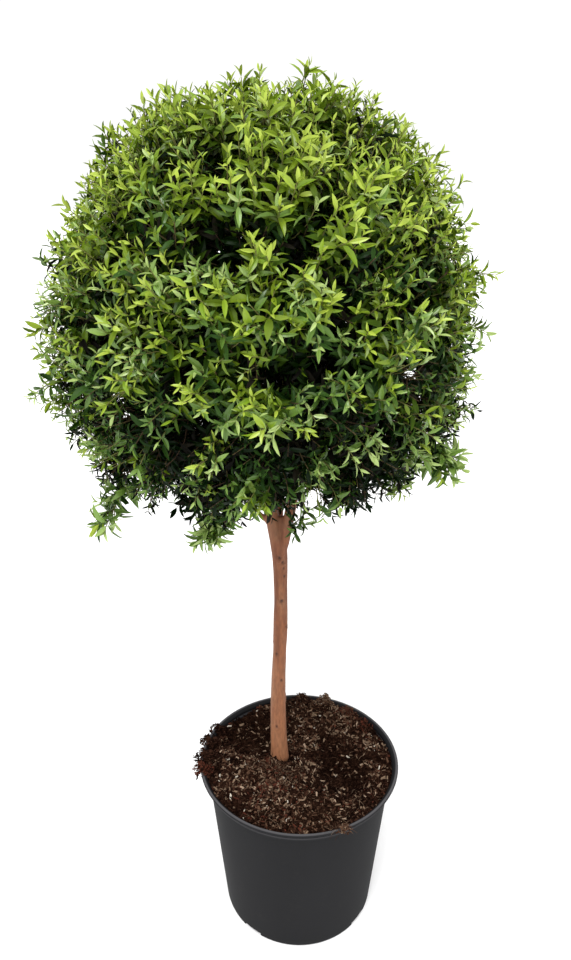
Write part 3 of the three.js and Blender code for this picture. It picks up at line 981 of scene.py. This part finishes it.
class Shoots:
    """Every leafy shoot: the foot, bend and tip of its curve, the size of its leaves, how lit its leaves are
    painted
    and its rank: 0 leads a spray, 1 branches from one and 2 stands in the shade behind."""

    def __init__(self):
        self.foot, self.bend, self.tip = [], [], []
        self.size, self.light, self.rank = [], [], []

    def add(self, foot, bend, tip, size, light, rank):
        held = (self.foot, self.bend, self.tip, self.size, self.light, self.rank)
        for values, new in zip(held, (foot, bend, tip, size, light, rank)):
            values.append(new)

    def close(self):
        self.foot, self.bend, self.tip = (np.vstack(p) for p in (self.foot, self.bend, self.tip))
        self.size, self.light, self.rank = (np.concatenate(p) for p in (self.size, self.light, self.rank))


def crown_reach(surface, centre, directions):
    reach = []
    for direction in directions:
        hit = surface.ray_cast(Vector(centre), Vector(direction))
        reach.append(hit[3] if hit[0] else 0.2)
    return np.array(reach)


def plan_shoots():
    rng = np.random.default_rng(4)
    surface = surface_of("crown")
    low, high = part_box("crown")
    centre = np.array((low + high) / 2)
    shoots = Shoots()
    plan_sprays(shoots, surface, centre, low.z, high.z, rng)
    for layer in LAYERS:
        plan_layer(shoots, layer, surface, centre, low.z, high.z, rng)
    for node in outgrown_nodes():
        add_outgrown(shoots, node, centre, rng)
    add_fork_spray(shoots, rng)
    shoots.close()
    return shoots


def height_light(tip, low, high):
    """How lit a shoot's leaves are painted: full painted light at the top of the crown, little at its
    underside.
    """
    height = np.clip((tip[:, 2] - low) / (high - low), 0, 1)
    return 0.49 + 0.43 * height


def thinned(out, tip, rng):
    """Which places keep a shoot: the underside is sparse, and bare round the boughs."""
    keep = rng.random(len(out)) > 0.45 * np.clip(-out[:, 2] - 0.35, 0, 1)
    stem = node_verts("trunk").mean(0)
    return keep & ~((np.hypot(*(tip[:, :2] - stem[:2]).T) < 0.013) & (out[:, 2] < -0.6))


def plan_sprays(shoots, surface, centre, low, high, rng):
    out = sphere_points(SPRAYS["count"], rng, 0.9)
    reach = crown_reach(surface, centre, out)
    lumps = noise(out * 4.1, 31) + 0.6 * noise(out * 8.3, 37)
    depth = SPRAYS["inset"] + rng.uniform(*SPRAYS["depth"], len(out)) + np.clip(-lumps - 0.15, 0, 1) * 0.016
    depth -= 0.007 * np.clip(out[:, 2], 0, 1)
    tip = centre + out * (reach - depth)[:, None]
    keep = thinned(out, tip, rng)
    out, tip = out[keep], tip[keep]
    lift = np.where(out[:, 2] > -0.25, 0.42, 0.05)[:, None]
    axis = unit(out + lift * UP + rng.normal(0, 0.2, out.shape))
    length = rng.uniform(*SPRAYS["length"], len(out))[:, None]
    foot = tip - axis * length + unit(centre - tip) * length * 0.1
    bend = (foot + tip) / 2 + rng.normal(0, 0.004, out.shape) - UP * 0.004
    spread = 0.31 - 0.12 * np.clip((tip[:, 2] - low) / (high - low), 0, 1)
    light = height_light(tip, low, high) + rng.normal(0, 1, len(out)) * spread
    # Painted shade: sprays sunk into hollows of the outline, and most on the underside, take darker tints.
    light -= np.clip(-lumps[keep], 0, 1) * 0.3
    light[(out[:, 2] < -0.55) & (rng.random(len(out)) < 0.7)] -= 0.6
    size = rng.uniform(0.74, 1.2, len(out))
    shoots.add(foot, bend, tip, size, light, np.full(len(out), 0))
    plan_side_shoots(shoots, foot, bend, tip, axis, size, light, rng)


def plan_side_shoots(shoots, foot, bend, tip, axis, size, light, rng):
    """The side shoots that fan from each spray's main shoot."""
    sides = rng.integers(*SPRAYS["sides"], len(tip))
    spray = np.repeat(np.arange(len(tip)), sides)
    turn = np.arange(len(spray)) * 2.4 + rng.normal(0, 0.3, len(spray))
    lateral = turned(square_to(axis)[spray], axis[spray], turn)
    t = rng.uniform(0.22, 0.7, len(spray))[:, None]
    side_foot = on_curve(foot[spray], bend[spray], tip[spray], t)
    fan = rng.uniform(*SPRAYS["fan"], len(spray))[:, None]
    side_tip = tip[spray] + lateral * fan - axis[spray] * rng.uniform(*SPRAYS["lag"], len(spray))[:, None]
    reach = np.linalg.norm(side_tip - side_foot, axis=1, keepdims=True)
    side_bend = side_foot + (0.75 * lateral + 0.65 * axis[spray]) * reach * 0.45
    side_light = light[spray] + rng.normal(0, 0.09, len(spray))
    side_size = size[spray] * rng.uniform(0.82, 1.08, len(spray))
    shoots.add(side_foot, side_bend, side_tip, side_size, side_light, np.full(len(spray), 1))


def plan_layer(shoots, layer, surface, centre, low, high, rng):
    out = sphere_points(layer["count"], rng, 0.9)
    reach = crown_reach(surface, centre, out)
    tip = centre + out * (reach - rng.uniform(*layer["depth"], len(out)))[:, None]
    keep = thinned(out, tip, rng) & (out[:, 2] < layer.get("below", 1))
    out, tip = out[keep], tip[keep]
    axis = unit(out + 0.15 * UP + rng.normal(0, 0.3, out.shape))
    length = rng.uniform(*layer["length"], len(out))[:, None]
    foot = tip - axis * length + unit(centre - tip) * length * 0.12
    bend = (foot + tip) / 2 + rng.normal(0, 0.004, out.shape) - UP * 0.003
    light = layer["light"] * height_light(tip, low, high) + rng.normal(0, 0.05, len(out))
    size = layer["size"] * rng.uniform(0.85, 1.12, len(out))
    shoots.add(foot, bend, tip, size, light, np.full(len(out), 2))


def outgrown_nodes():
    return sorted(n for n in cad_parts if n.endswith("_shoot") or n.endswith("_spray"))


def add_outgrown(shoots, node, centre, rng):
    """A pair of shoots that follow one CAD shoot out to its tip; a hanging spray also rays from its end."""
    verts = node_verts(node)
    away = np.linalg.norm(verts - centre, axis=1)
    tip, root = verts[away.argmax()], verts[away < away.min() + 0.004].mean(0)
    spray = node.endswith("_spray")
    past = SPRAYS["inset"] + (0.012 if spray else 0)
    reach = (tip - root) * max(0.3, 1 - past / np.linalg.norm(tip - root))
    spread = rng.normal(0, 0.004, (2, 3)) * [[0.2], [1.0]]
    tips = root + reach * np.array([[1.0], [0.7]]) + spread * 0.8
    feet = root + unit(centre - root) * 0.045 + UP * 0.012 + spread * 0.3
    light = np.array([0.85, 0.75]) + rng.normal(0, 0.1, 2)
    bends = (feet + tips) / 2 + UP * 0.004
    shoots.add(feet, bends, tips, rng.uniform(0.98, 1.16, 2), light, np.zeros(2, int))
    if spray:
        outward = unit(reach) * 0.7 + unit(root - centre) * [0.5, 0.5, 0]
        add_hub_shoots(shoots, feet[0], bends[0], tips[0], outward, rng)


def add_hub_shoots(shoots, foot, bend, tip, outward, rng):
    """Short shoots with long leaves that ray from the outer half of a hanging spray's leader."""
    count = 13
    t = rng.uniform(0.55, 0.95, (count, 1))
    hub = on_curve(foot, bend, tip, t)
    ray = unit(rng.normal(0, 1, (count, 3)) + outward)
    ends = hub + ray * rng.uniform(0.014, 0.022, (count, 1))
    size = rng.uniform(1.15, 1.45, count)
    light = 0.84 + rng.normal(0, 0.2, count)
    shoots.add(hub, hub + ray * 0.008 + UP * 0.002, ends, size, light, np.ones(count, int))


def add_fork_spray(shoots, rng):
    top = node_verts("trunk")
    fork = top[top[:, 2] > top[:, 2].max() - 0.001].mean(0)
    tips = fork + np.array(FORK_SPRAY)
    foot, tip, _, _ = limb_ends("right_bough")
    feet = foot + (tip - foot) * rng.uniform(0.12, 0.3, (len(tips), 1)) + np.array([0.004, -0.006, 0])
    bends = (feet + tips) / 2 + UP * 0.006
    light = np.array([0.9, 0.6, 0.45, 0.6])
    shoots.add(feet, bends, tips, np.full(len(tips), 1.15), light, np.full(len(tips), 1))


def leaves_on(shoots):
    """Opposite pairs of leaves up every shoot, each pair a quarter turn from the last."""
    rng = np.random.default_rng(9)
    length = np.linalg.norm(shoots.tip - shoots.foot, axis=1)
    nodes = np.clip(np.round(0.9 * length / INTERNODE), 4, 12).astype(int)
    shoot = np.repeat(np.arange(len(nodes)), nodes)
    order = np.concatenate([np.arange(n) for n in nodes])
    last = nodes[shoot] - 1
    share = order / last
    t = (0.1 + 0.9 * share**0.86)[:, None]
    foot, bend, tip = shoots.foot[shoot], shoots.bend[shoot], shoots.tip[shoot]
    place = on_curve(foot, bend, tip, t)
    axis = unit((1 - t) * (bend - foot) + t * (tip - bend))
    first = square_to(unit(shoots.tip - shoots.foot))
    first = turned(first, unit(shoots.tip - shoots.foot), rng.random(len(nodes)) * 2 * np.pi)
    side = unit(first[shoot] - (first[shoot] * axis).sum(1, keepdims=True) * axis)
    side = turned(side, axis, order * np.pi / 2 + rng.normal(0, 0.22, len(order)))
    from_tip = last - order
    lean = np.radians(LEAF_LEANS)[np.minimum(from_tip, 3)]
    grown = np.array([0.58, 0.84, 1.0, 1.0])[np.minimum(from_tip, 3)]
    grown = grown * (1 - 0.18 * np.clip(0.35 - share, 0, 1) / 0.35)
    pieces = []
    for sign in (1, -1):
        tilt = lean + rng.normal(0, 0.16, len(lean))
        heading = unit(np.cos(tilt)[:, None] * axis + sign * np.sin(tilt)[:, None] * side)
        face = unit(axis - (axis * heading).sum(1, keepdims=True) * heading)
        face = turned(face, heading, rng.normal(0, 0.62, len(lean)))
        size = LEAF["length"] * shoots.size[shoot] * grown * rng.uniform(0.74, 1.16, len(lean))
        pieces.append(
            {
                "place": place,
                "heading": heading,
                "face": face,
                "length": size,
                "width": size * LEAF["slimness"] * rng.uniform(0.86, 1.18, len(lean)),
                "curl": rng.normal(0.9, 0.32, len(lean)) * np.where(from_tip < 2, 0.5, 1.0),
                "fold": rng.uniform(0.3, 0.8, len(lean)),
                "fresh": np.exp(-from_tip / 1.9),
                "young": from_tip < 4,
                "light": shoots.light[shoot],
                "shoot": shoot,
                "rank": shoots.rank[shoot],
            }
        )
    return {key: np.concatenate([p[key] for p in pieces]) for key in pieces[0]}


def leaf_verts(leaves, shape):
    """The vertices of each leaf: two halves that meet at the folded midrib."""
    stations = np.array([0.0, *shape["stations"], 1.0])
    widths = np.array([0.0, *shape["widths"], 0.0])
    heading, face = leaves["heading"][:, None], leaves["face"][:, None]
    side = np.cross(heading, face)
    t = stations[None, :, None]
    length = leaves["length"][:, None, None]
    curl = leaves["curl"][:, None, None]
    spine = leaves["place"][:, None] + heading * length * (t - curl**2 * t**3 / 6)
    spine = spine - face * length * curl * t**2 / 2
    half = 0.5 * leaves["width"][:, None, None] * widths[None, :, None]
    rise = half * np.sin(leaves["fold"])[:, None, None]
    out = half * np.cos(leaves["fold"])[:, None, None]
    right = spine + side * out + face * rise
    left = spine - side * out + face * rise
    return np.concatenate([spine, right[:, 1:-1], spine, left[:, 1:-1]], axis=1)


def leaf_faces(count):
    """Triangles and quads of one leaf with this many stations between its foot and its tip."""
    spine, edge = np.arange(count + 2), np.arange(count) + count + 2
    half = 2 * count + 2
    triangles = [(spine[0], edge[0], spine[1]), (spine[-2], edge[-1], spine[-1])]
    quads = [(spine[i + 1], edge[i], edge[i + 1], spine[i + 2]) for i in range(count - 1)]
    triangles += [tuple(half + i for i in face[::-1]) for face in triangles]
    quads += [tuple(half + i for i in face[::-1]) for face in quads]
    return np.array(triangles), np.array(quads), 2 * half


def deal_tints(leaves, rng):
    """Which tint each leaf takes: lighter where painted lit, darker in painted shade, and lighter towards the
    tip.
    """
    light = np.clip(leaves["light"], -0.3, 1.3)
    tip_gain = 0.98 * leaves["fresh"] * np.clip(light + 0.12, 0.05, 1.1)
    lightness = 0.29 * light + tip_gain - 0.028 + rng.normal(0, 0.08, len(light))
    steps = FIRST_DRY
    tint = np.clip(((0.92 - lightness) / 0.92 * steps).round(), 0, steps - 1).astype(int)
    low = leaves["light"] < 0.3
    dry = low & (rng.random(len(tint)) < 0.25) & (leaves["fresh"] < 0.6)
    tint[dry] = FIRST_DRY + rng.integers(0, len(TINT_LIST) - FIRST_DRY, dry.sum())
    return tint


def upper_crown_leaves(leaves, shoots, rng):
    """The leaves that take the upper crown's tints: most of those on the upper half of the crown."""
    low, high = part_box("crown")
    height = (leaves["place"][:, 2] - low.z) / (high.z - low.z)
    return height + rng.normal(0, 0.3, len(shoots.foot))[leaves["shoot"]] > 0.50


def make_leaves(shoots):
    leaves = leaves_on(shoots)
    rng = np.random.default_rng(12)
    tint = deal_tints(leaves, rng)
    tint[upper_crown_leaves(leaves, shoots, rng) & (tint < FIRST_DRY)] += len(TINT_LIST)
    leaves["kept"] = ~in_gap(leaves, np.random.default_rng(13))
    made, start = [], 0
    for name, tints in [*LEAF_TINTS.items(), *UPPER_CROWN_TINTS.items()]:
        rough, specular = LEAF_GLOSS[name]
        materials = [plain_material(f"{name}_{i}", c, rough, specular) for i, c in enumerate(tints)]
        mine = leaves["kept"] & (tint >= start) & (tint < start + len(tints))
        full = (leaves["rank"] < 2) & leaves["young"]
        for shape, label, part in ((LEAF, name, mine & full), (INNER_LEAF, f"{name}_inner", mine & ~full)):
            made += leaf_pieces(label, shape, leaves, np.flatnonzero(part), tint - start, materials)
        start += len(tints)
    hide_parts("crown", *outgrown_nodes())


def in_gap(leaves, rng):
    """Leaves that would close one of the openings where sky shows through the crown."""
    middle = leaves["place"] + leaves["heading"] * leaves["length"][:, None] * 0.5
    closing = np.zeros(len(middle), bool)
    for gap in GAPS:
        along = unit(np.array(gap["along"]))
        away = middle - np.array(gap["at"])
        away -= (away @ along)[:, None] * along
        closing |= np.linalg.norm(away, axis=1) < gap["radius"] * rng.uniform(0.6, 1.25, len(middle))
    return closing


def leaf_pieces(label, shape, leaves, chosen, slots, materials):
    triangles, quads, size = leaf_faces(len(shape["stations"]))
    parts = math.ceil(len(chosen) * (len(triangles) + 2 * len(quads)) / PIECE_LIMIT)
    made = []
    for part in range(parts):
        picked = chosen[part::parts]
        verts = leaf_verts({key: values[picked] for key, values in leaves.items()}, shape)
        block = (np.arange(len(picked)) * size)[:, None, None]
        slot = slots[picked]
        groups = [
            ((block + triangles).reshape(-1, 3), np.repeat(slot, len(triangles))),
            ((block + quads).reshape(-1, 4), np.repeat(slot, len(quads))),
        ]
        name = label if parts == 1 else f"{label}_{part + 1}"
        piece = mesh_object(name, verts.reshape(-1, 3), groups, materials)
        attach(piece, "root")
        made.append(piece)
    return made


# ------------------------------------------------------------------------------ twigs


def twig_radius(shoots_carried):
    """Twigs thicken with the number of shoots that they carry."""
    return 0.00058 * shoots_carried**0.40


def grow_branches(shoots, rng):
    """Splits each bough's shoots in two again and again, with a fork in the wood at every split."""
    ends = {node: limb_ends(node) for node in LIMBS}
    heads = {node: unit(tip - foot) for node, (foot, tip, _, _) in ends.items()}
    tips = np.array([ends[node][1] for node in LIMBS])
    grown = np.flatnonzero(shoots.rank != 1)
    reach = shoots.foot[grown][:, None, :] - tips[None]
    heading = np.array([heads[node] for node in LIMBS])
    share = np.array([1.0, 0.9, 0.9, 0.66, 0.6])
    match = (unit(reach) * heading[None]).sum(-1) * share - 1.2 * np.linalg.norm(reach, axis=-1)
    owner = match.argmax(1)
    tubes, starts = [], {}
    for index, node in enumerate(LIMBS):
        members = grown[owner == index]
        start = tips[index] + heads[node] * 0.02
        starts[node] = {"start": start, "radius": max(0.7 * ends[node][3], 0.0016)}
        split_branch(start, heads[node], members, shoots, tubes, rng, 0, starts[node]["radius"])
    return tubes, starts


def split_branch(start, heading, members, shoots, tubes, rng, level, radius):
    """One length of branch towards its shoots, and then a fork into two lots of them."""
    if len(members) == 0:
        return
    if len(members) == 1:
        foot = shoots.foot[members[0]]
        bend = start + heading * 0.35 * np.linalg.norm(foot - start)
        tubes.append((start, bend, foot, radius, twig_radius(1), 1))
        return
    targets = shoots.foot[members]
    middle = targets.mean(0)
    share = min(0.16 + 0.055 * level, 0.55) * rng.uniform(0.8, 1.2)
    gap = np.linalg.norm(middle - start)
    fork = start + (middle - start) * share + rng.normal(0, 0.05, 3) * gap * share
    bend = start + heading * 0.5 * np.linalg.norm(fork - start)
    thick = min(radius, twig_radius(len(members)))
    tubes.append((start, bend, fork, radius, thick, len(members)))
    onward = unit(fork - bend)
    views = unit(targets - fork)
    spread = views - views.mean(0)
    axis = np.linalg.svd(spread, full_matrices=False)[2][0]
    order = np.argsort(spread @ axis)
    cut = int(np.clip(round(len(members) * rng.uniform(0.36, 0.64)), 1, len(members) - 1))
    for group in (members[order[:cut]], members[order[cut:]]):
        turn = unit(onward + 0.7 * unit(shoots.foot[group].mean(0) - fork))
        thin = min(thick, twig_radius(len(group)) * 1.15)
        split_branch(fork, turn, group, shoots, tubes, rng, level + 1, thin)


TWIG_TINTS = [(0.045, 0.026, 0.016), (0.065, 0.040, 0.023), (0.095, 0.070, 0.030), (0.15, 0.15, 0.045)]


def make_twigs(shoots, tubes):
    rng = np.random.default_rng(15)
    materials = [plain_material(f"twig_tint_{i}", tint, 0.75, 0.12) for i, tint in enumerate(TWIG_TINTS)]
    start, bend, end = (np.array([t[i] for t in tubes]) for i in range(3))
    foot, tip, carried = (np.array([t[i] for t in tubes]) for i in (3, 4, 5))
    verts, groups, offset = [], [], 0
    limb, twig = carried > 40, carried <= 6
    for thick, sides, steps in ((limb, 7, 5), (~limb & ~twig, 5, 4), (twig, 3, 3)):
        if not thick.any():
            continue
        v, faces = tube_mesh(start[thick], bend[thick], end[thick], foot[thick], tip[thick], sides, steps)
        tint = np.where(carried[thick] > 12, 0, 1) + (rng.random(thick.sum()) < 0.3)
        groups += [(f + offset, np.repeat(tint, len(f) // thick.sum())) for f in faces]
        verts.append(v)
        offset += len(v)
    branches = mesh_object("branches", np.vstack(verts), groups, materials)
    count = len(shoots.foot)
    girth = np.choose(shoots.rank, [0.00105, 0.0008, 0.0008])
    v, faces = tube_mesh(shoots.foot, shoots.bend, shoots.tip, girth, 0.45 * girth, 3, 3)
    # Painted light: stems of shoots painted lit take the palest tint.
    tint = np.where(shoots.light > 0.45, 3, np.where(rng.random(count) < 0.5, 2, 1))
    stems = mesh_object("shoot_stems", v, [(f, np.repeat(tint, len(f) // count)) for f in faces], materials)
    for piece in (branches, stems):
        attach(piece, "root")


# ------------------------------------------------------------------------------ studio


def make_floor():
    bpy.ops.mesh.primitive_plane_add(size=400, location=(0, 0, 0))
    floor = bpy.context.object
    floor.name = "studio_floor"
    floor.data.materials.append(floor_material())


def make_camera():
    data = bpy.data.cameras.new("camera")
    data.lens = CAMERA["lens"]
    camera = bpy.data.objects.new("camera", data)
    camera.location = (CAMERA["x"], -CAMERA["back"], CAMERA["height"])
    camera.rotation_euler = (math.radians(90 - CAMERA["pitch"]), 0, 0)
    bpy.context.scene.collection.objects.link(camera)
    bpy.context.scene.camera = camera


def make_lights():
    scene = bpy.context.scene
    world = bpy.data.worlds.new("studio")
    world.use_nodes = True
    world.node_tree.nodes["Background"].inputs["Color"].default_value = (1, 1, 1, 1)
    world.node_tree.nodes["Background"].inputs["Strength"].default_value = SKY
    scene.world = world
    scene.view_settings.view_transform = "Standard"
    light = bpy.data.lights.new("key", "SUN")
    light.energy, light.angle = KEY["strength"], math.radians(KEY["softness"])
    lamp = bpy.data.objects.new("key", light)
    lamp.rotation_euler = Vector(KEY["from"]).to_track_quat("Z", "Y").to_euler()
    scene.collection.objects.link(lamp)


# ------------------------------------------------------------------------------ the whole plant

make_camera()
make_floor()
make_lights()
make_pot()
make_soil_bits(*make_soil())
shoots = plan_shoots()
tubes, limb_starts = grow_branches(shoots, np.random.default_rng(2))
make_limbs(limb_starts)
make_twigs(shoots, tubes)
make_leaves(shoots)
